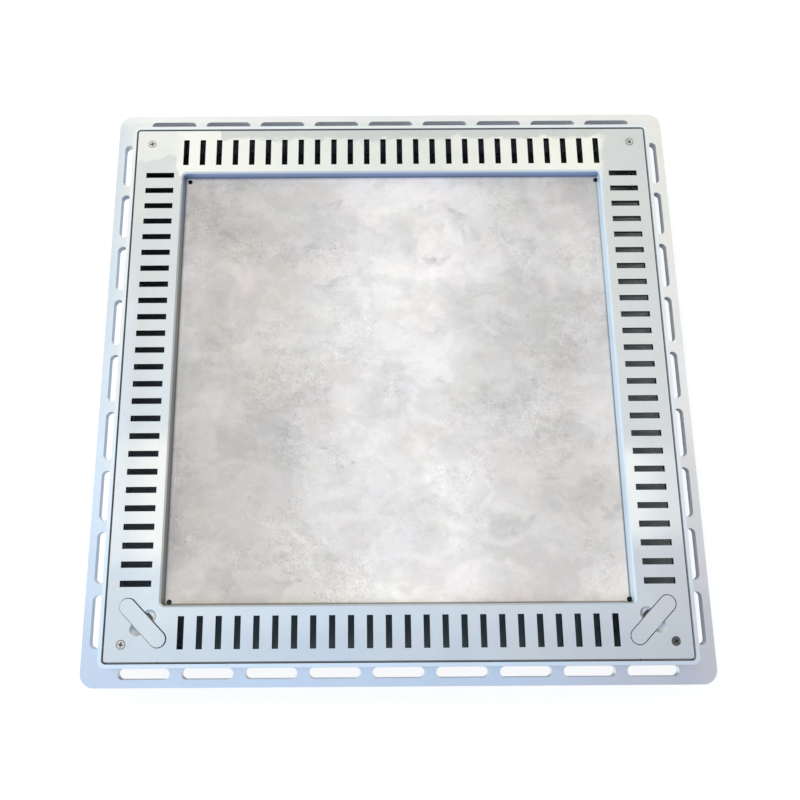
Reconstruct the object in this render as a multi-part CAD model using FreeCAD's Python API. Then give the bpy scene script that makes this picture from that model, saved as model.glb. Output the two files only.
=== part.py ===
import FreeCAD, Part
import math
import os

# Tile-in access cover: a slotted rim round a recessed tray, screwed into a frame with an anchor flange.
# Millimetres, +Z up, origin at the middle of the frame's underside. The keyholes are on the -Y side.

# Cover and frame
COVER_SIZE = 551.0
COVER_CORNER = 2.0
COVER_GAP = 2.0
FRAME_HEIGHT = 50.0
UPSTAND_THICK = 3.5
WELD_GAP = 0.2

# Anchor flange round the frame
FLANGE_WIDTH = 19.0
FLANGE_THICK = 8.0
FLANGE_DROP = 10.0
FLANGE_CORNER = 14.0
ANCHOR_SLOT_LENGTH = 49.0
ANCHOR_SLOT_WIDTH = 10.0
ANCHOR_SLOT_PITCH = 60.0
ANCHOR_SLOT_LIP = 7.4
ANCHOR_SLOT_END = 30.0

# Slotted rim of the cover
RIM_THICK = 4.0
RIM_WIDTH = 50.5
RIM_EDGE_BEVEL = 1.5
OPENING_CORNER = 4.0
SLOT_LENGTH = 30.0
SLOT_WIDTH = 6.0
SLOT_PITCH = 17.8
SLOT_ROW_INSET = 26.0
SLOT_END_INSET = 52.0

# Folded tray inside the rim
TRAY_DEPTH = 10.0
TRAY_SHEET = 2.0
TRAY_BEND = 3.0
TRAY_LEAN = 1.0
RELIEF_D = 5.0
RELIEF_INSET = 4.0
RELIEF_SHIFT_RIGHT = 1.8
RELIEF_SHIFT_NEAR = 1.3
RIB_SPACING = 140.0
RIB_HEIGHT = 25.0
RIB_THICK = 4.0
RIB_END_INSET = 12.0
RIB_END_CUT = 12.0

# Keyholes across the near corners, with their seats and plugs
KEYHOLE_INSET = 35.0
KEYHOLE_CLEARANCE = 0.8
LEFT_PLUG_SHIFT = 0.56
KEYHOLE_SLOT_MARGIN = 6.0
PLUG_LENGTH = 56.5
PLUG_WIDTH = 15.0
PLUG_TONGUE_HEIGHT = 3.0
SCOOP_RADIUS = 6.4
SCOOP_DEPTH = 2.6
SEAT_PLATE_MARGIN = 4.0
SEAT_PLATE_THICK = 4.0
SEAT_PLATE_CLIP = 9.0
KEY_SLOT_LENGTH = 46.0
KEY_SLOT_WIDTH = 8.0

# Seat bars and corner brackets inside the frame
SEAT_BAR_WIDTH = 9.0
SEAT_BAR_THICK = 6.0
SEAT_BAR_END_GAP = 0.5
BRACKET_LEG = 51.0
BRACKET_THICK = 6.0

# Countersunk screws into the tapped brackets
SCREW_INSET = 15.5
SCREW_D = 4.0
SCREW_LENGTH = 16.0
SCREW_HEAD_D = 8.4
SCREW_SINK = 0.1
SCREW_CLEARANCE = 0.3

# Sizes and levels that follow from those above
COVER_HALF = COVER_SIZE / 2
FRAME_HALF = COVER_HALF + COVER_GAP
UPSTAND_HALF = FRAME_HALF + UPSTAND_THICK
FLANGE_SIZE = 2 * (UPSTAND_HALF + FLANGE_WIDTH)
FRAME_CORNER = COVER_CORNER + COVER_GAP
UPSTAND_CORNER = FRAME_CORNER + UPSTAND_THICK
OPENING_SIZE = COVER_SIZE - 2 * RIM_WIDTH
TOP = FRAME_HEIGHT
RIM_LOW = TOP - RIM_THICK
FLANGE_TOP = TOP - FLANGE_DROP
TRAY_FLOOR = TOP - TRAY_DEPTH
TRAY_LOW = TRAY_FLOOR - TRAY_SHEET
SEAT_PLATE_LOW = RIM_LOW - SEAT_PLATE_THICK
BRACKET_LOW = RIM_LOW - BRACKET_THICK
KEYHOLE_LENGTH = PLUG_LENGTH + 2 * KEYHOLE_CLEARANCE
KEYHOLE_WIDTH = PLUG_WIDTH + 2 * KEYHOLE_CLEARANCE
KEYHOLE_AT = COVER_HALF - KEYHOLE_INSET
SCREW_AT = COVER_HALF - SCREW_INSET
HEAD_R = SCREW_HEAD_D / 2
SHANK_R = SCREW_D / 2

# Each corner and each side is a quarter turn on from the one before it.
CORNERS = ("back_right", "back_left", "front_left", "front_right")
SIDES = ("front", "right", "back", "left")
KEYHOLES = ("left", "right")
UP = FreeCAD.Vector(0, 0, 1)
ORIGIN = FreeCAD.Vector(0, 0, 0)


def placed(shape, x, y, angle=0.0):
    """Turns a copy of the shape about Z and moves it to x, y."""
    shape = shape.copy()
    shape.rotate(ORIGIN, UP, angle)
    shape.translate(FreeCAD.Vector(x, y, 0))
    return shape


def at_corner(shape, name):
    """A shape made for the back right corner, turned to the named corner."""
    return placed(shape, 0, 0, 90 * CORNERS.index(name))


def at_keyhole(shape, name):
    """A shape made along X on the origin, laid across the named near corner."""
    x = KEYHOLE_AT if name == "right" else -KEYHOLE_AT
    return placed(shape, x, -KEYHOLE_AT, math.copysign(45, x))


def rounded_rectangle(length, width, radius):
    """Closed outline on the XY plane, centred on the origin, with round corners."""
    edges = []
    straight_x = length / 2 - radius
    straight_y = width / 2 - radius
    middles = [(straight_x, straight_y), (-straight_x, straight_y)]
    middles += [(-straight_x, -straight_y), (straight_x, -straight_y)]
    ends = []
    for quarter, (x, y) in enumerate(middles):
        middle = FreeCAD.Vector(x, y, 0)
        turns = [math.radians(90 * quarter + step) for step in (0, 45, 90)]
        points = [middle + FreeCAD.Vector(math.cos(a), math.sin(a), 0) * radius for a in turns]
        edges.append(Part.Arc(*points).toShape())
        ends.append((points[0], points[2]))
    for quarter in range(4):
        start = ends[quarter][1]
        stop = ends[(quarter + 1) % 4][0]
        if start.distanceToPoint(stop) > 1e-6:
            edges.append(Part.makeLine(start, stop))
    return Part.Wire(Part.__sortEdges__(edges))


def rectangle(length, width):
    """Closed outline on the XY plane, centred on the origin, with sharp corners."""
    turns = ((-0.5, -0.5), (0.5, -0.5), (0.5, 0.5), (-0.5, 0.5), (-0.5, -0.5))
    return Part.makePolygon([FreeCAD.Vector(length * x, width * y, 0) for x, y in turns])


def stadium(length, width):
    """Closed outline of a slot with half-round ends, along X and centred on the origin."""
    radius = width / 2
    reach = length / 2 - radius
    outline = ((-reach, -radius), (reach, -radius), (reach, radius), (-reach, radius))
    corners = [FreeCAD.Vector(x, y, 0) for x, y in outline]
    right_end = Part.Arc(corners[1], FreeCAD.Vector(length / 2, 0, 0), corners[2])
    left_end = Part.Arc(corners[3], FreeCAD.Vector(-length / 2, 0, 0), corners[0])
    edges = [
        Part.makeLine(corners[0], corners[1]),
        right_end.toShape(),
        Part.makeLine(corners[2], corners[3]),
        left_end.toShape(),
    ]
    return Part.Wire(edges)


def plate(outlines, low, high):
    """Flat plate between two heights: the first outline is its edge and the others are holes in it."""
    face = Part.makeFace(outlines, "Part::FaceMakerBullseye")
    face.translate(FreeCAD.Vector(0, 0, low))
    return face.extrude(UP * (high - low))


def turned(profile):
    """Solid turned about Z from radius and height pairs."""
    points = [FreeCAD.Vector(r, 0, z) for r, z in profile]
    outline = Part.makePolygon(points + points[:1])
    return Part.Face(outline).revolve(ORIGIN, UP, 360)


def row_positions(count, pitch):
    """Places of evenly spaced copies, centred on zero."""
    return [(index - (count - 1) / 2) * pitch for index in range(count)]


def on_four_sides(outline, along, inset):
    """Copies of an outline at places along each side, on a centreline inset from the middle."""
    copies = []
    for side in range(4):
        for place in along:
            copy = placed(outline, place, -inset)
            copy.rotate(ORIGIN, UP, 90 * side)
            copies.append(copy)
    return copies


def edges_at(shape, height, half):
    """Edges at a height whose ends all lie inside a square of the given half size."""
    found = []
    for edge in shape.Edges:
        box = edge.BoundBox
        level = abs(box.ZMin - height) < 1e-6 and abs(box.ZMax - height) < 1e-6
        inside = max(abs(box.XMin), abs(box.XMax), abs(box.YMin), abs(box.YMax)) < half + 1e-6
        if level and inside:
            found.append(edge)
    return found


def upright_corners(shape, box):
    """Upright edges of a plate that stand on the corners of its outline's box."""
    found = []
    for edge in shape.Edges:
        ends = [vertex.Point for vertex in edge.Vertexes]
        upright = ends[0].x == ends[-1].x and ends[0].y == ends[-1].y
        if upright and abs(abs(ends[0].x) - box.XMax) < 1e-6 and abs(abs(ends[0].y) - box.YMax) < 1e-6:
            found.append(edge)
    return found


def keyhole_outlines(length, width):
    """The same stadium outline laid at both keyholes."""
    return [at_keyhole(stadium(length, width), name) for name in KEYHOLES]


def drainage_slots():
    """Slot outlines on all four sides, left out where a keyhole takes their place."""
    free_length = COVER_SIZE - 2 * SLOT_END_INSET
    along = row_positions(int(free_length // SLOT_PITCH) + 1, SLOT_PITCH)
    outline = rectangle(SLOT_WIDTH, SLOT_LENGTH)
    keyholes = [Part.Face(wire) for wire in keyhole_outlines(KEYHOLE_LENGTH, KEYHOLE_WIDTH)]
    slots = []
    for slot in on_four_sides(outline, along, COVER_HALF - SLOT_ROW_INSET):
        distances = [Part.Face(slot).distToShape(keyhole)[0] for keyhole in keyholes]
        if min(distances) > KEYHOLE_SLOT_MARGIN:
            slots.append(slot)
    return slots


def slotted_rim():
    """Ring plate with drainage slots, keyholes with finger scoops and countersunk holes."""
    outlines = [rounded_rectangle(COVER_SIZE, COVER_SIZE, COVER_CORNER)]
    outlines.append(rounded_rectangle(OPENING_SIZE, OPENING_SIZE, OPENING_CORNER))
    outlines += keyhole_outlines(KEYHOLE_LENGTH, KEYHOLE_WIDTH)
    outlines += drainage_slots()
    rim = plate(outlines, RIM_LOW, TOP)
    rim = rim.makeChamfer(RIM_EDGE_BEVEL, edges_at(rim, TOP, OPENING_SIZE / 2))
    sphere_r = (SCOOP_RADIUS**2 + SCOOP_DEPTH**2) / (2 * SCOOP_DEPTH)
    sphere_z = TOP - SCOOP_DEPTH + sphere_r
    cutters = []
    for edge in (-KEYHOLE_WIDTH / 2, KEYHOLE_WIDTH / 2):
        ball = Part.makeSphere(sphere_r, FreeCAD.Vector(0, edge, sphere_z))
        cutters += [at_keyhole(ball, name) for name in KEYHOLES]
    hole_r = SHANK_R + SCREW_CLEARANCE
    sink_r = HEAD_R + SCREW_CLEARANCE
    sink_low = TOP - (sink_r - hole_r)
    hole = turned([(0, RIM_LOW), (hole_r, RIM_LOW), (hole_r, sink_low), (sink_r, TOP), (0, TOP)])
    cutters += [at_corner(placed(hole, SCREW_AT, SCREW_AT), name) for name in CORNERS]
    return rim.cut(cutters)


def leaning_block(low_half, high_half, low, high):
    """Square block between two heights whose sides lean from one half size to the other."""
    ends = (-low_half, low, -low_half, -high_half, -high_half, low_half, high, low_half, high_half, high_half)
    block = Part.makeWedge(*ends)
    block.rotate(ORIGIN, FreeCAD.Vector(1, 0, 0), 90)
    return block


def infill_tray():
    """Folded pan under the rim's opening, with a round relief where two bends meet."""
    inner_half = OPENING_SIZE / 2
    outer_half = inner_half + TRAY_SHEET
    outer = leaning_block(outer_half - TRAY_LEAN, outer_half, TRAY_LOW, RIM_LOW)
    outer = outer.makeFillet(TRAY_BEND, edges_at(outer, TRAY_LOW, outer_half))
    inner = leaning_block(inner_half - TRAY_LEAN, inner_half, TRAY_FLOOR, RIM_LOW)
    # The reliefs sit a little to the right and near side, and nick the feet of the walls there.
    start = FreeCAD.Vector(RELIEF_SHIFT_RIGHT, -RELIEF_SHIFT_NEAR, TRAY_LOW)
    relief = Part.makeCylinder(RELIEF_D / 2, TRAY_SHEET + RELIEF_D / 2, start)
    reach = inner_half - RELIEF_INSET
    reliefs = [placed(relief, x, y) for x in (-reach, reach) for y in (-reach, reach)]
    return outer.cut([inner] + reliefs)


def tray_rib(x):
    """Flat bar on edge under the tray's floor, with its lower corners cut away."""
    reach = OPENING_SIZE / 2 - RIB_END_INSET
    low = TRAY_LOW - RIB_HEIGHT
    side = [(-reach, TRAY_LOW), (-reach, low + RIB_END_CUT), (-reach + RIB_END_CUT, low)]
    side += [(reach - RIB_END_CUT, low), (reach, low + RIB_END_CUT), (reach, TRAY_LOW)]
    points = [FreeCAD.Vector(x - RIB_THICK / 2, y, z) for y, z in side]
    face = Part.Face(Part.makePolygon(points + points[:1]))
    return face.extrude(FreeCAD.Vector(RIB_THICK, 0, 0))


def keyhole_seat(name):
    """Plate under a keyhole that carries the plug and holds the slot for the lifting key."""
    outer = rectangle(KEYHOLE_LENGTH + 2 * SEAT_PLATE_MARGIN, KEYHOLE_WIDTH + 2 * SEAT_PLATE_MARGIN)
    seat = plate([outer, rectangle(KEY_SLOT_LENGTH, KEY_SLOT_WIDTH)], SEAT_PLATE_LOW, RIM_LOW)
    seat = seat.makeChamfer(SEAT_PLATE_CLIP, upright_corners(seat, outer.BoundBox))
    return at_keyhole(seat, name)


def keyhole_plug(name):
    """Loose plug flush with the rim, with a tongue in the key slot."""
    top = plate([stadium(PLUG_LENGTH, PLUG_WIDTH)], RIM_LOW, TOP)
    tongue_length = KEY_SLOT_LENGTH - 2 * KEYHOLE_CLEARANCE
    tongue_width = KEY_SLOT_WIDTH - 2 * KEYHOLE_CLEARANCE
    tongue = plate([rectangle(tongue_length, tongue_width)], RIM_LOW - PLUG_TONGUE_HEIGHT, RIM_LOW)
    return at_keyhole(top.fuse(tongue).removeSplitter(), name)


def frame_upstand():
    """Upright wall of the frame, bent round the cover."""
    outer = rounded_rectangle(2 * UPSTAND_HALF, 2 * UPSTAND_HALF, UPSTAND_CORNER)
    inner = rounded_rectangle(2 * FRAME_HALF, 2 * FRAME_HALF, FRAME_CORNER)
    return plate([outer, inner], 0, FRAME_HEIGHT)


def anchor_flange():
    """Plate ring round the upstand with a row of anchor slots on each side."""
    hole_size = 2 * (UPSTAND_HALF + WELD_GAP)
    free_length = FLANGE_SIZE - 2 * ANCHOR_SLOT_END - ANCHOR_SLOT_LENGTH
    along = row_positions(int(free_length // ANCHOR_SLOT_PITCH) + 1, ANCHOR_SLOT_PITCH)
    row = FLANGE_SIZE / 2 - ANCHOR_SLOT_LIP - ANCHOR_SLOT_WIDTH / 2
    outlines = [rounded_rectangle(FLANGE_SIZE, FLANGE_SIZE, FLANGE_CORNER)]
    outlines.append(rounded_rectangle(hole_size, hole_size, UPSTAND_CORNER + WELD_GAP))
    outlines += on_four_sides(stadium(ANCHOR_SLOT_LENGTH, ANCHOR_SLOT_WIDTH), along, row)
    return plate(outlines, FLANGE_TOP - FLANGE_THICK, FLANGE_TOP)


def corner_bracket(name):
    """Triangular gusset in a corner of the frame with a tapped hole for the cover's screw."""
    edge = FRAME_HALF - WELD_GAP
    tip = FRAME_HALF - BRACKET_LEG
    outline = [(edge - FRAME_CORNER, edge), (tip, edge), (edge, tip), (edge, edge - FRAME_CORNER)]
    points = [FreeCAD.Vector(x, y, 0) for x, y in outline]
    hole_at = FreeCAD.Vector(SCREW_AT, SCREW_AT, 0)
    hole = Part.Wire(Part.makeCircle(SHANK_R + SCREW_CLEARANCE, hole_at))
    bracket = plate([Part.makePolygon(points + points[:1]), hole], BRACKET_LOW, RIM_LOW)
    return at_corner(bracket, name)


def seat_bar(side):
    """Flat bar along one side of the frame, between two corner brackets."""
    length = 2 * (FRAME_HALF - BRACKET_LEG - SEAT_BAR_END_GAP)
    outer = -FRAME_HALF + WELD_GAP
    start = FreeCAD.Vector(-length / 2, outer, RIM_LOW - SEAT_BAR_THICK)
    bar = Part.makeBox(length, SEAT_BAR_WIDTH - WELD_GAP, SEAT_BAR_THICK, start)
    return placed(bar, 0, 0, 90 * SIDES.index(side))


def corner_screws():
    """Four countersunk screws, their heads just below the rim's face."""
    top = TOP - SCREW_SINK
    tip = top - SCREW_LENGTH
    neck = top - (HEAD_R - SHANK_R)
    screw = turned([(0, tip), (SHANK_R, tip), (SHANK_R, neck), (HEAD_R, top), (0, top)])
    screw.translate(FreeCAD.Vector(SCREW_AT, SCREW_AT, 0))
    return Part.makeCompound([at_corner(screw, name) for name in CORNERS])


parts = {
    "frame_upstand": frame_upstand(),
    "anchor_flange": anchor_flange(),
    "slotted_rim": slotted_rim(),
    "infill_tray": infill_tray(),
    "corner_screws": corner_screws(),
}
for name in CORNERS:
    parts["corner_bracket_" + name] = corner_bracket(name)
for side in SIDES:
    parts["seat_bar_" + side] = seat_bar(side)
for side, x in (("left", -RIB_SPACING), ("middle", 0.0), ("right", RIB_SPACING)):
    parts["tray_rib_" + side] = tray_rib(x)
for side in KEYHOLES:
    parts["keyhole_seat_" + side] = keyhole_seat(side)
    parts["keyhole_plug_" + side] = keyhole_plug(side)
# The left plug has slid outwards in its keyhole, and the right one is centred.
parts["keyhole_plug_left"].translate(FreeCAD.Vector(-LEFT_PLUG_SHIFT, 0, 0))

os.makedirs("parts", exist_ok=True)
for name, shape in parts.items():
    shape.exportStep("parts/" + name + ".step")
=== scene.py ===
"""Looks of a recessed access cover: satin steel rim with drainage slots, mottled tray, slotted frame."""

import math

import bmesh
import bpy
from mathutils import Matrix, Vector

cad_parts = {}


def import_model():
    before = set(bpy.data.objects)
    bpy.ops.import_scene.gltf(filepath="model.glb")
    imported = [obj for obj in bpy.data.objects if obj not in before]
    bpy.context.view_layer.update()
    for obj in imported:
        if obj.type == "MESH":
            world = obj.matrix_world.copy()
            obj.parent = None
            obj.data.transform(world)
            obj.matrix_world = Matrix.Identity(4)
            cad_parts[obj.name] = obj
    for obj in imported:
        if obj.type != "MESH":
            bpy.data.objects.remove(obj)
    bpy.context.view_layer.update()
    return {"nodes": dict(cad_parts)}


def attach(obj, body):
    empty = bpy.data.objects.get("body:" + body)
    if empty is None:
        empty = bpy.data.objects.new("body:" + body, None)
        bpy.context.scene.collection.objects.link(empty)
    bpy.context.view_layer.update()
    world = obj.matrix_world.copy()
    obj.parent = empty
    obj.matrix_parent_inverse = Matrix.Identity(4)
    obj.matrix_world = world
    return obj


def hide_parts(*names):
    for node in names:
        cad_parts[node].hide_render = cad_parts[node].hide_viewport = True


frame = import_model()
nodes = frame["nodes"]
MM = 0.001

# Photograph's frame and the camera that was fitted to it.
PHOTO_PX = 800
FOCAL_PX = 728.9
PRINCIPAL_X_PX = 366.5
SENSOR_MM = 36.0
CAMERA_AT_MM = (-30.09, -185.8, 764.88)
CAMERA_TURN_DEG = (12.5251, -0.0359, -0.3593)

# Heights and places in the row frame, in mm.
TRAY_FLOOR = 40.0
TRAY_FOOT = 224.0
SCREW_AT = 260.0
SCREW_TOP = 49.9
SCREW_TIP = 33.9
RELIEF_AT = 221.0
RELIEF_SHIFT = (1.8, -1.3)
SHAFT_HALF = 279.0
FLANGE_HALF = 300.0
UPSTAND_HALF = 281.0


class Nodes:
    """Short way to add and join shader nodes in one tree."""

    def __init__(self, tree):
        self.tree = tree
        tree.nodes.clear()

    def add(self, kind, settings=None, **inputs):
        made = self.tree.nodes.new(kind)
        for key, value in (settings or {}).items():
            setattr(made, key, value)
        for key, value in inputs.items():
            self.put(made.inputs[key.replace("_", " ")], value)
        return made

    def put(self, socket, value):
        if isinstance(value, bpy.types.NodeSocket):
            self.tree.links.new(value, socket)
        else:
            socket.default_value = value

    def math(self, operation, a, b=0.0, c=0.0, clamp=False):
        made = self.tree.nodes.new("ShaderNodeMath")
        made.operation = operation
        made.use_clamp = clamp
        for socket, value in zip(made.inputs, (a, b, c)):
            self.put(socket, value)
        return made.outputs[0]

    def times(self, a, b):
        return self.math("MULTIPLY", a, b)

    def plus(self, a, b):
        return self.math("ADD", a, b)

    def minus(self, a, b):
        return self.math("SUBTRACT", a, b)

    def most(self, a, b):
        return self.math("MAXIMUM", a, b)

    def split(self, where):
        return self.add("ShaderNodeSeparateXYZ", Vector=where).outputs[:]

    def facing(self):
        return self.split(self.add("ShaderNodeNewGeometry").outputs["Normal"])

    def vector(self, operation, a, b=(0, 0, 0)):
        made = self.tree.nodes.new("ShaderNodeVectorMath")
        made.operation = operation
        self.put(made.inputs[0], a)
        self.put(made.inputs[1], b)
        return made.outputs["Value" if operation in ("DOT_PRODUCT", "LENGTH") else "Vector"]

    def ranged(self, value, low, high, to_low=0.0, to_high=1.0, smooth=False):
        made = self.tree.nodes.new("ShaderNodeMapRange")
        made.interpolation_type = "SMOOTHSTEP" if smooth else "LINEAR"
        for socket, item in zip(made.inputs, (value, low, high, to_low, to_high)):
            self.put(socket, item)
        return made.outputs[0]

    def mix(self, factor, a, b, blend="MIX"):
        made = self.tree.nodes.new("ShaderNodeMix")
        made.data_type = "RGBA"
        made.blend_type = blend
        self.put(made.inputs[0], factor)
        for socket, value in zip((made.inputs[6], made.inputs[7]), (a, b)):
            self.put(socket, value if isinstance(value, bpy.types.NodeSocket) else (*value, 1.0))
        return made.outputs[2]

    def grey(self, value):
        return self.add("ShaderNodeCombineColor", Red=value, Green=value, Blue=value).outputs[0]

    def noise(self, where, scale, detail=2.0, roughness=0.5, distortion=0.0, stretch=None):
        if stretch:
            where = self.vector("MULTIPLY", where, stretch)
        made = self.add("ShaderNodeTexNoise", Vector=where, Scale=scale, Detail=detail)
        made.inputs["Roughness"].default_value = roughness
        made.inputs["Distortion"].default_value = distortion
        return made.outputs["Fac"]


def new_material(name):
    """Empty node material, its node helper and the object's own coordinates in metres."""
    material = bpy.data.materials.new(name)
    material.use_nodes = True
    helper = Nodes(material.node_tree)
    where = helper.add("ShaderNodeTexCoord").outputs["Object"]
    return material, helper, where


def satin_steel(n, where, tint, roughness, grain, walls=(0.30, 0.31, 0.33), dull=0.6):
    """Satin sheet steel under a given tint: uneven polish, faint grain, a wavy face and duller cut edges in a
    given wall colour, which on the rim and frame is painted light and shade.
    """
    cloud = n.noise(where, 9.0, 3.0, 0.6)
    blotch = n.noise(n.vector("ADD", where, (0.3, 0.9, 0.0)), 38.0, 4.0, 0.6, 0.6)
    fine = n.noise(where, 700.0, 2.0, 0.6, stretch=grain)
    shade = n.times(n.ranged(fine, 0.3, 0.7, 0.985, 1.01), n.ranged(blotch, 0.3, 0.7, 0.975, 1.02))
    colour = n.mix(1.0, tint, n.grey(shade), "MULTIPLY")
    _, _, face_z = n.facing()
    upright = n.ranged(n.math("ABSOLUTE", face_z), 0.5, 0.2)
    # Side walls take the wall colour: painted light and shade on the rim and frame
    colour = n.mix(upright, colour, walls)
    polish = n.ranged(cloud, 0.3, 0.7, roughness - 0.04, roughness + 0.04)
    waves = n.noise(where, 14.0, 1.0, 0.4)
    wavy = n.add("ShaderNodeBump", Strength=0.12, Distance=0.004, Height=waves).outputs[0]
    bumped = n.add("ShaderNodeBump", Strength=0.03, Distance=0.0002, Height=fine, Normal=wavy).outputs[0]
    metal = n.minus(1.0, n.times(upright, dull))
    shader = n.add(
        "ShaderNodeBsdfPrincipled", Base_Color=colour, Metallic=metal, Roughness=polish, Normal=bumped
    )
    n.add("ShaderNodeOutputMaterial", Surface=shader.outputs[0])


def plain_steel(name, tone, warm, roughness):
    """Steel whose tint drifts between two tones."""
    material, n, where = new_material(name)
    tint = n.mix(n.ranged(n.noise(where, 9.0, 3.0, 0.6), 0.35, 0.65, smooth=True), tone, warm)
    satin_steel(n, where, tint, roughness, (0.5, 0.5, 1.0))
    return material


def rim_steel():
    """Slotted rim: painted highlights towards the tray and half way along the sides, a painted bluish
    reflection at the outer left, a pale blotch at the back, and painted light and shade in the scoops, the
    opening and the slots.
    """
    material, n, where = new_material("rim_steel")
    x, y, z = n.split(where)
    out_x, out_y, _ = n.split(n.vector("ABSOLUTE", where))
    cloud = n.noise(where, 9.0, 3.0, 0.6)
    ragged = n.minus(n.noise(where, 45.0, 4.0, 0.6, 0.8), 0.5)
    tint = n.mix(n.ranged(cloud, 0.35, 0.65, smooth=True), (0.71, 0.735, 0.76), (0.755, 0.757, 0.75))
    reach = n.most(out_x, out_y)
    # Painted highlight near the tray opening, strongest along the near side and the left
    inner_sheen = n.ranged(n.plus(reach, n.times(cloud, 0.012)), 0.266, 0.240, smooth=True)
    leftward = n.times(n.ranged(x, -0.1, -0.2), n.ranged(y, 0.12, 0.04, 0.0, 0.42))
    inner_sheen = n.times(inner_sheen, n.most(n.ranged(y, -0.19, -0.225, 0.06, 0.40), leftward))
    tint = n.mix(inner_sheen, tint, (0.87, 0.88, 0.88))
    # Painted bluish reflection on the outer part of the left side
    outer = n.times(n.ranged(x, -0.262, -0.270, 0.0, 0.5), n.ranged(y, 0.14, 0.07))
    outer = n.times(outer, n.ranged(y, -0.20, -0.15))
    tint = n.mix(outer, tint, (0.80, 0.83, 0.90))
    strip = n.times(n.ranged(y, 0.262, 0.268, 0.0, 0.5), n.ranged(out_x, 0.236, 0.222))
    tint = n.mix(strip, tint, (0.655, 0.66, 0.655))

    # A painted highlight half way along the near part of each side, strongest next to the tray
    span = n.ranged(x, -0.1, 0.1, 0.064, 0.046)
    off = n.minus(n.math("ABSOLUTE", n.plus(y, 0.124)), span)
    side_glare = n.ranged(n.plus(off, n.times(ragged, 0.02)), 0.010, -0.016, smooth=True)
    side_glare = n.times(side_glare, n.ranged(reach, 0.236, 0.264, 1.0, 0.45))
    side_glare_tint = n.mix(n.ranged(x, -0.1, 0.1), (0.99, 0.94, 0.87), (1.0, 1.0, 0.96))
    tint = n.mix(side_glare, tint, side_glare_tint)

    # Pale blotch with ragged edges along the back, which runs out over the left corner
    across = n.plus(x, n.times(ragged, 0.03))
    along = n.plus(y, n.times(ragged, 0.03))
    low = n.ranged(across, -0.234, -0.226, 0.243, 0.215)
    high = n.ranged(across, -0.194, -0.182, 0.300, 0.265)
    strength = n.ranged(out_x, 0.05, 0.17, 0.66, 0.92)
    strength = n.times(strength, n.ranged(across, -0.226, -0.240, 1.0, 0.55))
    pale = n.times(strength, n.ranged(n.minus(along, low), -0.002, 0.002))
    pale = n.times(pale, n.ranged(n.minus(along, high), 0.003, -0.003, smooth=True))
    pale = n.times(pale, n.ranged(across, 0.232, 0.222, smooth=True))
    tint = n.mix(pale, tint, n.mix(n.ranged(x, 0.0, 0.18), (0.96, 0.955, 0.91), (1.0, 0.995, 0.94)))

    # Finger scoops in painted light and shade: the inner ones pale in the bowl with a painted grey edge and
    # dark painted shade beside the plug, the outer ones painted grey
    scoops = n.times(n.ranged(y, -0.228, -0.230), n.ranged(out_x, 0.228, 0.230))
    diagonal = n.plus(out_x, out_y)
    inner = n.times(scoops, n.ranged(diagonal, 0.486, 0.478))
    edge = n.ranged(z, 49.98 * MM, 49.7 * MM, 0.0, 0.5)
    tint = n.mix(n.times(inner, edge), tint, (0.42, 0.43, 0.45))
    bowl = n.ranged(z, 49.4 * MM, 48.6 * MM, 0.0, 0.8)
    tint = n.mix(n.times(inner, bowl), tint, (0.93, 0.93, 0.92))
    beside = n.times(n.ranged(diagonal, 0.4662, 0.4684, smooth=True), n.ranged(z, 48.8 * MM, 48.0 * MM))
    tint = n.mix(n.times(inner, beside), tint, (0.05, 0.05, 0.05))
    outer_scoop = n.times(n.minus(scoops, inner), n.ranged(z, 49.98 * MM, 49.8 * MM))
    outer_grey = n.times(outer_scoop, n.ranged(diagonal, 0.5020, 0.4936, 0.15, 0.9))
    tint = n.mix(outer_grey, tint, (0.32, 0.36, 0.42))

    # Painted light and shade on the bevel and wall of the opening: bluish at the back and the right, lighter
    # where they face left, darker where they face right or to the back, and the slot walls painted dark as
    # shade
    face_x, face_y, _ = n.facing()
    bevel = n.ranged(reach, 0.2290, 0.2280)
    tint = n.mix(n.times(bevel, n.ranged(face_x, -0.3, -0.6)), tint, (0.68, 0.82, 0.96))
    tint = n.mix(n.times(bevel, n.ranged(face_y, 0.3, 0.6)), tint, (0.62, 0.66, 0.72))
    far = n.mix(n.ranged(out_x, 0.06, 0.18), (0.36, 0.45, 0.66), (0.42, 0.53, 0.76))
    lining = n.mix(n.ranged(face_x, -0.4, -0.9), far, (0.80, 0.92, 1.0))
    warmer = n.mix(n.ranged(y, 0.20, 0.15), (0.40, 0.44, 0.52), (0.42, 0.415, 0.40))
    lining = n.mix(n.ranged(face_x, 0.4, 0.9), lining, warmer)
    lining = n.mix(n.ranged(face_y, 0.4, 0.9), lining, (0.28, 0.27, 0.26))
    walls = n.mix(n.ranged(reach, 0.2270, 0.2285), lining, (0.025, 0.025, 0.03))
    satin_steel(n, where, tint, 0.33, (1.0, 0.15, 1.0), walls)
    return material


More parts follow.
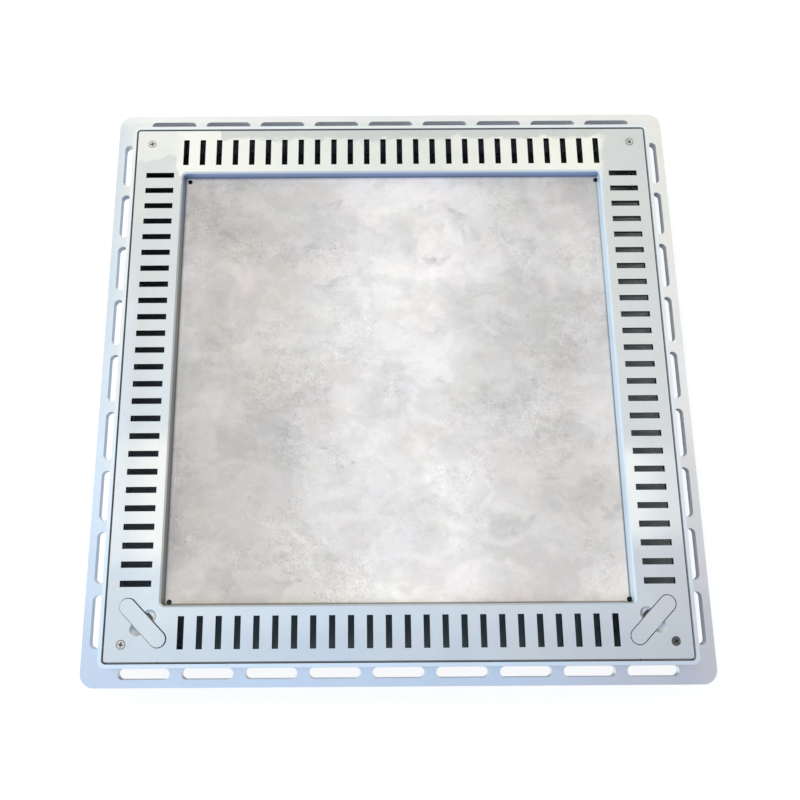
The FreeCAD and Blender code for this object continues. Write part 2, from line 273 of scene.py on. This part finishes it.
def frame_steel():
    """Frame: pale flange with painted reflections, bluer to the left and near side, warm and rosy to the
    right, paler at the back, with a painted highlight on the upstand's top edge.
    """
    material, n, where = new_material("frame_steel")
    x, y, z = n.split(where)
    face_x, face_y, _ = n.facing()
    cloud = n.noise(where, 9.0, 3.0, 0.6)
    tint = n.mix(n.ranged(cloud, 0.35, 0.65, smooth=True), (0.84, 0.86, 0.87), (0.875, 0.875, 0.87))
    # Painted reflections: bluer to the left, paler at the back, bluish to lavender along the near side, warm
    # and rosy to the right
    blue = n.ranged(n.plus(x, n.times(cloud, 0.01)), -0.274, -0.300, 0.0, 0.7, smooth=True)
    tint = n.mix(blue, tint, n.mix(n.ranged(y, -0.02, 0.10), (0.70, 0.82, 0.98), (0.66, 0.75, 0.86)))
    tint = n.mix(n.ranged(y, 0.288, 0.294, 0.0, 0.6), tint, (0.95, 0.95, 0.94))
    near = n.ranged(y, -0.10, -0.27, smooth=True)
    near_tint = n.mix(n.ranged(x, 0.10, 0.27, smooth=True), (0.68, 0.745, 0.85), (0.68, 0.67, 0.71))
    tint = n.mix(near, tint, near_tint)
    warm = n.times(n.ranged(x, 0.275, 0.290, 0.0, 0.6), n.minus(1.0, near))
    tint = n.mix(warm, tint, (0.95, 0.91, 0.87))
    rosy = n.times(n.ranged(x, 0.275, 0.290, 0.0, 0.6), n.ranged(y, -0.02, -0.12, smooth=True))
    tint = n.mix(rosy, tint, (0.78, 0.73, 0.71))
    # Painted highlight on the upstand's top edge
    lip = n.ranged(z, 44.0 * MM, 49.0 * MM, 0.0, 0.6)
    tint = n.mix(lip, tint, (0.88, 0.95, 1.0))

    # Painted light and shade on the walls of the slots and the gap: bright where they face left, dark grey
    # elsewhere, and paler at the back, the left and along the near strip
    bright = n.mix(n.ranged(x, -0.27, -0.25), (0.38, 0.40, 0.43), (0.93, 0.97, 1.0))
    walls = n.mix(n.ranged(face_x, -0.1, -0.6), (0.28, 0.29, 0.32), bright)
    leftmost = n.times(n.ranged(face_x, 0.1, 0.6), n.ranged(x, -0.26, -0.27))
    gap = n.mix(n.ranged(x, -0.2805, -0.2790), (0.52, 0.60, 0.74), (0.95, 0.97, 1.0))
    walls = n.mix(leftmost, walls, gap)
    behind = n.times(n.ranged(face_y, -0.2, -0.7), n.ranged(y, 0.24, 0.27))
    walls = n.mix(behind, walls, (0.80, 0.80, 0.84))
    front = n.times(n.ranged(y, -0.284, -0.285), n.ranged(z, 41.0 * MM, 40.5 * MM))
    paler = n.mix(n.ranged(face_x, 0.3, -0.3), (0.60, 0.63, 0.70), (0.88, 0.96, 1.0))
    walls = n.mix(front, walls, paler)
    beside = n.times(n.ranged(x, -0.284, -0.285), n.ranged(z, 41.0 * MM, 40.5 * MM))
    beside = n.times(beside, n.ranged(face_x, 0.5, 0.95))
    walls = n.mix(beside, walls, (0.70, 0.84, 1.0))
    dull = n.ranged(n.most(front, beside), 0.0, 1.0, 0.6, 0.1)
    satin_steel(n, where, tint, 0.38, (1.0, 0.3, 1.0), walls, dull)
    return material


def tray_steel():
    """Folded tray: satin walls with bluish painted reflections and painted shade round a matt, plaster-like
    floor with cloudy marks and fine grit, and painted light and shade near the walls and in the creases.
    """
    material, n, where = new_material("tray_steel")
    x, y, z = n.split(where)
    face_x, face_y, face_z = n.facing()
    floor = n.ranged(face_z, 0.7, 0.9)

    # Marks of several sizes, from broad clouds to fine grit and pits
    clouds = n.noise(where, 6.0, 2.0, 0.55, 0.4)
    patches = n.noise(n.vector("ADD", where, (1.3, 0.2, 0.0)), 15.0, 5.0, 0.62, 0.4)
    strokes = n.noise(n.vector("ADD", where, (0.4, 2.2, 0.0)), 40.0, 4.0, 0.65, 0.5, stretch=(0.75, 1.0, 1.0))
    mottle = n.noise(n.vector("ADD", where, (2.4, 0.6, 0.0)), 130.0, 3.0, 0.65, 0.5)
    grit = n.noise(where, 400.0, 2.0, 0.7)
    gritty = n.noise(n.vector("ADD", where, (0.7, 5.3, 0.0)), 12.0, 4.0, 0.65)
    gritty = n.ranged(gritty, 0.50, 0.62, smooth=True)
    cells = n.add("ShaderNodeTexVoronoi", Vector=where, Scale=150.0)
    chance = n.add("ShaderNodeSeparateColor", Color=cells.outputs["Color"]).outputs[0]
    pits = n.times(n.ranged(cells.outputs["Distance"], 0.20, 0.08), n.math("GREATER_THAN", chance, 0.80))
    trowel = n.ranged(patches, 0.46, 0.54, -0.5, 0.5, smooth=True)
    dabs = n.ranged(strokes, 0.47, 0.53, -0.5, 0.5, smooth=True)
    shade = n.plus(1.0, n.plus(n.times(trowel, 0.060), n.times(dabs, 0.030)))
    for marks, strength in ((clouds, 0.52), (patches, 0.34), (strokes, 0.34), (mottle, 0.14), (grit, 0.08)):
        shade = n.plus(shade, n.times(n.minus(marks, 0.5), strength))
    rough_spots = n.plus(n.times(n.minus(mottle, 0.53), 0.35), n.times(n.minus(grit, 0.53), 0.40))
    shade = n.plus(shade, n.times(rough_spots, gritty))
    shade = n.minus(shade, n.times(pits, n.ranged(gritty, 0.0, 1.0, 0.04, 0.20)))
    # Pairs of flecks on the gritty parts, a pale one set just beside a dark one: painted highlight and shade,
    # as if light fell on raised grit from one side
    flecks = []
    for shift in ((0.0, 0.0, 0.0), (0.0009, 0.0009, 0.0)):
        spots = n.add("ShaderNodeTexVoronoi", Vector=n.vector("ADD", where, shift), Scale=330.0)
        some = n.add("ShaderNodeSeparateColor", Color=spots.outputs["Color"]).outputs[0]
        dot = n.ranged(spots.outputs["Distance"], 0.34, 0.12)
        flecks.append(n.times(dot, n.math("GREATER_THAN", some, 0.62)))
    grouped = n.times(n.minus(n.times(flecks[1], 0.10), n.times(flecks[0], 0.24)), gritty)
    shade = n.plus(shade, grouped)
    smudge = n.times(n.ranged(patches, 0.54, 0.72, smooth=True), n.ranged(strokes, 0.42, 0.62, smooth=True))

    # Floor, paler along the middle and cooler to the right
    aside = n.math("ABSOLUTE", n.minus(x, 0.015))
    wander = n.plus(aside, n.times(n.minus(patches, 0.5), 0.16))
    middle = n.ranged(wander, 0.170, 0.030, smooth=True)
    plain = n.mix(middle, (0.562, 0.523, 0.495), (0.778, 0.739, 0.721))
    cooler = n.mix(n.ranged(x, 0.03, 0.16, 0.0, 0.8, smooth=True), plain, (0.630, 0.591, 0.570))
    pink = n.noise(n.vector("ADD", where, (3.1, 1.7, 0.4)), 13.0, 5.0, 0.75)
    blush = n.mix(n.ranged(pink, 0.42, 0.60, smooth=True), cooler, (1.018, 0.986, 0.972), "MULTIPLY")
    olive = n.noise(n.vector("ADD", where, (0.8, 4.4, 0.9)), 22.0, 5.0, 0.75)
    blush = n.mix(n.ranged(olive, 0.44, 0.62, smooth=True), blush, (0.978, 0.988, 0.954), "MULTIPLY")
    mottled = n.mix(1.0, blush, n.grey(shade), "MULTIPLY")
    colour = n.mix(n.times(smudge, 0.42), mottled, (0.37, 0.355, 0.335))
    stray = n.noise(n.vector("ADD", where, (5.2, 0.3, 0.0)), 26.0, 5.0, 0.65, 0.4, stretch=(0.7, 1.0, 1.0))
    colour = n.mix(n.ranged(stray, 0.58, 0.72, 0.0, 0.40, smooth=True), colour, (0.34, 0.325, 0.305))
    nicks = n.noise(n.vector("ADD", where, (7.4, 2.6, 0.0)), 60.0, 5.0, 0.7, 0.3, stretch=(0.8, 1.0, 1.0))
    colour = n.mix(n.ranged(nicks, 0.64, 0.74, 0.0, 0.40, smooth=True), colour, (0.33, 0.315, 0.29))
    leftward = n.times(x, -1.0)
    nearward = n.times(y, -1.0)
    reach = n.most(leftward, y)
    # Painted light: the floor is brightened near the left and far walls and towards the near wall, lifting
    # the shade at their feet
    foot_light = n.ranged(reach, (TRAY_FOOT - 7.0) * MM, TRAY_FOOT * MM, 1.0, 1.22, smooth=True)
    foot_light = n.most(foot_light, n.ranged(nearward, 0.17, TRAY_FOOT * MM, 1.0, 1.14))
    colour = n.mix(1.0, colour, n.grey(foot_light), "MULTIPLY")
    shady = n.times(n.ranged(y, 0.09, 0.17, smooth=True), n.ranged(x, 0.12, 0.04, smooth=True))
    colour = n.mix(1.0, colour, n.grey(n.ranged(shady, 0.0, 1.0, 1.0, 0.92)), "MULTIPLY")
    # Painted shade: dark lines along the feet of the right and left walls
    foot_shade = n.ranged(x, (TRAY_FOOT - 1.9) * MM, (TRAY_FOOT - 0.7) * MM)
    foot_shade = n.times(foot_shade, n.ranged(y, 0.22, -0.05, 0.25, 0.85))
    foot_shade = n.most(foot_shade, n.ranged(leftward, (TRAY_FOOT - 1.7) * MM, (TRAY_FOOT - 0.6) * MM, 0.0, 0.75))
    colour = n.mix(foot_shade, colour, (0.15, 0.18, 0.20))

    # Walls with painted light and shade: a painted bluish reflection, darker towards the floor and the
    # middle, lit where they face the light on the left and darker where they face away from it
    upward = n.ranged(z, TRAY_FLOOR * MM, (TRAY_FLOOR + 9.0) * MM)
    wall = n.mix(upward, (0.19, 0.25, 0.40), (0.52, 0.66, 0.94))
    aside_wall = n.ranged(aside, 0.06, 0.18, 0.84, 1.0)
    wall = n.mix(1.0, wall, n.grey(aside_wall), "MULTIPLY")
    lit = n.mix(n.ranged(face_x, -0.3, -0.8), wall, (0.72, 0.87, 1.0))
    warmer = n.mix(n.ranged(y, 0.20, 0.15), (0.34, 0.38, 0.46), (0.36, 0.345, 0.315))
    turned = n.mix(n.ranged(face_x, 0.4, 0.9), lit, warmer)
    turned = n.mix(n.ranged(face_y, 0.4, 0.9), turned, (0.28, 0.27, 0.26))
    # Painted shade: the relief holes are dark below the floor
    relief_at = n.vector("SUBTRACT", where, (RELIEF_SHIFT[0] * MM, RELIEF_SHIFT[1] * MM, 0.0))
    relief_at = n.vector("ABSOLUTE", relief_at)
    hole_x, hole_y, _ = n.split(n.vector("SUBTRACT", relief_at, (RELIEF_AT * MM, RELIEF_AT * MM, 0.0)))
    across = n.vector("LENGTH", n.add("ShaderNodeCombineXYZ", X=hole_x, Y=hole_y).outputs[0])
    below = n.math("LESS_THAN", z, (TRAY_FLOOR - 0.02) * MM)
    turned = n.mix(n.times(n.ranged(across, 2.62 * MM, 2.52 * MM), below), turned, (0.02, 0.02, 0.02))
    base = n.mix(floor, turned, colour)
    # Painted shade in the creases from an occlusion node
    local = {"samples": 8, "only_local": True}
    crease = n.add("ShaderNodeAmbientOcclusion", local, Distance=0.0016).outputs["AO"]
    shaded = n.mix(1.0, base, n.grey(n.ranged(crease, 0.45, 0.85, 0.45, 1.0)), "MULTIPLY")
    rough = n.plus(n.times(floor, 0.12), 0.55)
    metal = n.minus(0.5, n.times(floor, 0.5))
    relief = n.plus(n.times(grit, 0.3), n.minus(strokes, n.times(pits, 0.3)))
    bumped = n.add("ShaderNodeBump", Strength=0.18, Distance=0.0008, Height=relief).outputs[0]
    shader = n.add(
        "ShaderNodeBsdfPrincipled", Base_Color=shaded, Metallic=metal, Roughness=rough, Normal=bumped
    )
    shader.inputs["Specular IOR Level"].default_value = 0.25
    n.add("ShaderNodeOutputMaterial", Surface=shader.outputs[0])
    return material


def screw_steel():
    """Screw heads: bright at the back, stained in the recess and round the edge, the near right one dull."""
    material, n, where = new_material("screw_steel")
    x, y, _ = n.split(where)
    away = n.vector("SUBTRACT", n.vector("ABSOLUTE", where), (SCREW_AT * MM, SCREW_AT * MM, 0.0))
    off_x, off_y, off_z = n.split(away)
    radius = n.vector("LENGTH", n.add("ShaderNodeCombineXYZ", X=off_x, Y=off_y).outputs[0])
    cloud = n.noise(where, 500.0, 4.0, 0.6)
    near = n.math("LESS_THAN", y, 0.0)
    right = n.math("GREATER_THAN", x, 0.0)
    dulled = n.times(near, right)
    edge = n.ranged(radius, 3.0 * MM, 3.6 * MM, smooth=True)
    edge = n.times(edge, n.ranged(n.plus(near, right), 0.0, 1.0, 0.35, 0.65))
    deep = n.ranged(off_z, (SCREW_TOP - 0.1) * MM, (SCREW_TOP - 0.8) * MM, smooth=True)
    stain = n.math("MULTIPLY", n.most(edge, deep), n.ranged(cloud, 0.3, 0.6, 0.7, 1.0), clamp=True)
    plain = n.mix(dulled, (0.74, 0.72, 0.68), (0.17, 0.165, 0.16))
    brown = n.mix(n.most(dulled, n.minus(1.0, near)), (0.20, 0.105, 0.055), (0.075, 0.06, 0.05))
    colour = n.mix(stain, plain, brown)
    rough = n.ranged(cloud, 0.3, 0.7, 0.32, 0.48)
    bumped = n.add("ShaderNodeBump", Strength=0.15, Distance=0.0001, Height=cloud).outputs[0]
    shader = n.add(
        "ShaderNodeBsdfPrincipled", Base_Color=colour, Metallic=1.0, Roughness=rough, Normal=bumped
    )
    n.add("ShaderNodeOutputMaterial", Surface=shader.outputs[0])
    return material


looks = {
    "rim_steel": rim_steel(),
    "frame_steel": frame_steel(),
    "tray_steel": tray_steel(),
    "plug_steel": plain_steel("plug_steel", (0.73, 0.75, 0.77), (0.77, 0.77, 0.77), 0.32),
    "screw_steel": screw_steel(),
    "inner_steel": plain_steel("inner_steel", (0.30, 0.30, 0.31), (0.38, 0.37, 0.36), 0.45),
}
for node in nodes.values():
    for slot in node.material_slots:
        slot.material = looks[slot.material.name.split(".")[0]]


def lathe(profile, steps):
    """Mesh turned about the Z axis from (radius, height) points in mm, closed at both ends."""
    made = bmesh.new()
    rings = []
    for radius, height in profile:
        ring = []
        for k in range(steps):
            turn = 2 * math.pi * k / steps
            place = (radius * math.cos(turn) * MM, radius * math.sin(turn) * MM, height * MM)
            ring.append(made.verts.new(place))
        rings.append(ring)
    for low, high in zip(rings, rings[1:]):
        for k in range(steps):
            made.faces.new((low[k], low[(k + 1) % steps], high[(k + 1) % steps], high[k]))
    made.faces.new(list(reversed(rings[0])))
    made.faces.new(rings[-1])
    return made


def cross_punch(top, depth, span, wing):
    """Tapered cross that is pressed into a screw head."""
    made = bmesh.new()
    rings = []
    for height, reach, half in ((top + 0.5, span * 1.1, wing), (top - depth, span * 0.5, wing * 0.7)):
        quarter = [(reach, -half), (reach, half), (half, half)]
        ring = []
        for k in range(4):
            turn = Matrix.Rotation(k * math.pi / 2, 3, "Z")
            for x, y in quarter:
                ring.append(made.verts.new(turn @ Vector((x * MM, y * MM, height * MM))))
        rings.append(ring)
    upper, lower = rings
    count = len(upper)
    for k in range(count):
        made.faces.new((lower[k], lower[(k + 1) % count], upper[(k + 1) % count], upper[k]))
    made.faces.new(upper)
    made.faces.new(list(reversed(lower)))
    return made


def as_object(made, name):
    """Scene object from a finished bmesh."""
    bmesh.ops.recalc_face_normals(made, faces=made.faces)
    mesh = bpy.data.meshes.new(name)
    made.to_mesh(mesh)
    made.free()
    thing = bpy.data.objects.new(name, mesh)
    bpy.context.scene.collection.objects.link(thing)
    return thing


def corner_screws():
    """Four countersunk screws with a cross recess, in the place of the plain solids."""
    profile = [(0.7, SCREW_TIP), (1.5, SCREW_TIP + 0.4)]
    height = SCREW_TIP + 0.8
    while height < SCREW_TOP - 2.8:
        profile += [(1.65, height), (1.98, height + 0.25), (1.98, height + 0.35), (1.65, height + 0.6)]
        height += 0.7
    profile += [(1.98, SCREW_TOP - 2.22), (4.1, SCREW_TOP - 0.12), (4.15, SCREW_TOP - 0.05)]
    profile += [(4.05, SCREW_TOP), (3.0, SCREW_TOP)]
    body = as_object(lathe(profile, 40), "screw_body")
    punch = as_object(cross_punch(SCREW_TOP, 1.7, 2.5, 0.7), "screw_punch")
    cut = body.modifiers.new("recess", "BOOLEAN")
    cut.operation = "DIFFERENCE"
    cut.solver = "EXACT"
    cut.object = punch
    bpy.context.view_layer.update()
    one = bpy.data.meshes.new_from_object(body.evaluated_get(bpy.context.evaluated_depsgraph_get()))
    all_four = bmesh.new()
    for x, y, turn in ((-1, 1, 12), (1, 1, 50), (-1, -1, 78), (1, -1, 33)):
        copy = one.copy()
        corner = Matrix.Translation((x * SCREW_AT * MM, y * SCREW_AT * MM, 0))
        copy.transform(corner @ Matrix.Rotation(math.radians(turn), 4, "Z"))
        all_four.from_mesh(copy)
        bpy.data.meshes.remove(copy)
    for extra in (body, punch):
        bpy.data.objects.remove(extra)
    screws = as_object(all_four, "cross_screws")
    screws.data.materials.append(looks["screw_steel"])
    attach(screws, "root")
    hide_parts("corner_screws")


corner_screws()


def floor():
    """Plain white floor that keeps the object's soft shadow, painted dark inside the frame as the shade of a
    shaft, with painted shade where the metal mirrors it under the flange.
    """
    bpy.ops.mesh.primitive_plane_add(size=8.0, location=(0, 0, 0))
    plane = bpy.context.object
    plane.name = "floor"
    material, n, where = new_material("floor_white")
    path = n.add("ShaderNodeLightPath")
    out_x, out_y, _ = n.split(n.vector("ABSOLUTE", where))
    reach = n.most(out_x, out_y)
    open_floor = n.math("GREATER_THAN", reach, SHAFT_HALF * MM)
    x, y, _ = n.split(where)
    near_left = n.math("LESS_THAN", n.math("MINIMUM", x, y), -UPSTAND_HALF * MM)
    beyond = n.most(n.math("GREATER_THAN", reach, FLANGE_HALF * MM), near_left)
    mirrored = n.times(path.outputs["Is Glossy Ray"], beyond)
    seen = n.most(path.outputs["Is Camera Ray"], mirrored)
    shown = n.times(seen, open_floor)
    # Painted shade: seen in reflections, the floor under the flange is dark, except along the near and left
    # sides where it stays white
    under = n.times(n.minus(1.0, beyond), path.outputs["Is Glossy Ray"])
    pale = n.minus(n.minus(0.85, n.times(shown, 0.6)), n.times(under, 0.65))
    # Painted shade inside the frame in place of a shaft, with painted light towards the near side, the left
    # and the right
    shaft_light_and_shade = n.mix(n.ranged(y, -0.20, -0.23), (0.10, 0.11, 0.12), (0.34, 0.44, 0.50))
    leftmost = n.times(n.ranged(x, -0.23, -0.25), n.ranged(y, 0.12, -0.22))
    shaft_light_and_shade = n.mix(leftmost, shaft_light_and_shade, (0.42, 0.47, 0.53))
    shaft_light_and_shade = n.mix(n.ranged(x, 0.23, 0.25), shaft_light_and_shade, (0.62, 0.65, 0.64))
    matt = n.add("ShaderNodeBsdfDiffuse", Color=n.mix(open_floor, shaft_light_and_shade, n.grey(pale)))
    white = n.add("ShaderNodeEmission", Color=(1.0, 1.0, 1.0, 1.0), Strength=n.times(shown, 0.82))
    both = n.add("ShaderNodeAddShader")
    n.put(both.inputs[0], matt.outputs[0])
    n.put(both.inputs[1], white.outputs[0])
    n.add("ShaderNodeOutputMaterial", Surface=both.outputs[0])
    plane.data.materials.append(material)


def world():
    """Soft studio surround: bluish on the near side, warmer at the back, with brighter and darker patches."""
    made = bpy.data.worlds.new("studio")
    bpy.context.scene.world = made
    made.use_nodes = True
    n = Nodes(made.node_tree)
    ray = n.add("ShaderNodeTexCoord").outputs["Generated"]
    backward = n.split(ray)[1]
    colour = n.mix(n.ranged(backward, -0.12, 0.50), (0.72, 0.86, 1.05), (0.88, 0.90, 0.85))
    lobes = (
        ((-235, 455, 715), 0.972, 0.999, (1.18, 1.17, 1.08)),
        ((-250, 40, 715), 0.955, 0.990, (1.00, 1.10, 1.15)),
        ((320, 90, 715), 0.960, 0.992, (1.09, 1.10, 1.10)),
        ((290, 440, 715), 0.965, 0.997, (0.98, 0.97, 0.89)),
        ((300, -130, 715), 0.975, 0.996, (0.45, 0.48, 0.54)),
        ((-1000, 100, 150), 0.500, 0.950, (1.10, 1.10, 1.08)),
        ((1000, 0, 100), 0.550, 0.950, (0.45, 0.47, 0.50)),
        ((0, -1000, 100), 0.550, 0.950, (0.50, 0.60, 0.76)),
    )
    for direction, edge, core, tint in lobes:
        facing = n.vector("DOT_PRODUCT", ray, tuple(Vector(direction).normalized()))
        colour = n.mix(n.ranged(facing, edge, core, smooth=True), colour, tint)
    seen = n.add("ShaderNodeLightPath").outputs["Is Camera Ray"]
    shown = n.mix(seen, colour, (1.0, 1.0, 1.0))
    back = n.add("ShaderNodeBackground", Color=shown, Strength=1.0)
    n.add("ShaderNodeOutputWorld", Surface=back.outputs[0])


def lamp(name, at, aim, size, power, colour):
    """Square soft lamp aimed at a point, in metres."""
    data = bpy.data.lights.new(name, "AREA")
    data.size = size
    data.energy = power
    data.color = colour
    made = bpy.data.objects.new(name, data)
    made.location = at
    made.rotation_euler = (Vector(aim) - Vector(at)).to_track_quat("-Z", "Y").to_euler()
    made.visible_glossy = False
    bpy.context.scene.collection.objects.link(made)


def camera():
    """Camera at the photograph's place, with the photograph's framing."""
    data = bpy.data.cameras.new("camera")
    data.sensor_width = SENSOR_MM
    data.lens = FOCAL_PX / PHOTO_PX * SENSOR_MM
    data.shift_x = 0.5 - PRINCIPAL_X_PX / PHOTO_PX
    made = bpy.data.objects.new("camera", data)
    made.location = Vector(CAMERA_AT_MM) * MM
    made.rotation_euler = [math.radians(turn) for turn in CAMERA_TURN_DEG]
    bpy.context.scene.collection.objects.link(made)
    bpy.context.scene.camera = made


floor()
world()
lamp("key", (-0.9, 0.9, 1.9), (0, 0, 0.04), 0.7, 18.0, (1.0, 0.97, 0.94))
camera()
bpy.context.scene.view_settings.view_transform = "Standard"
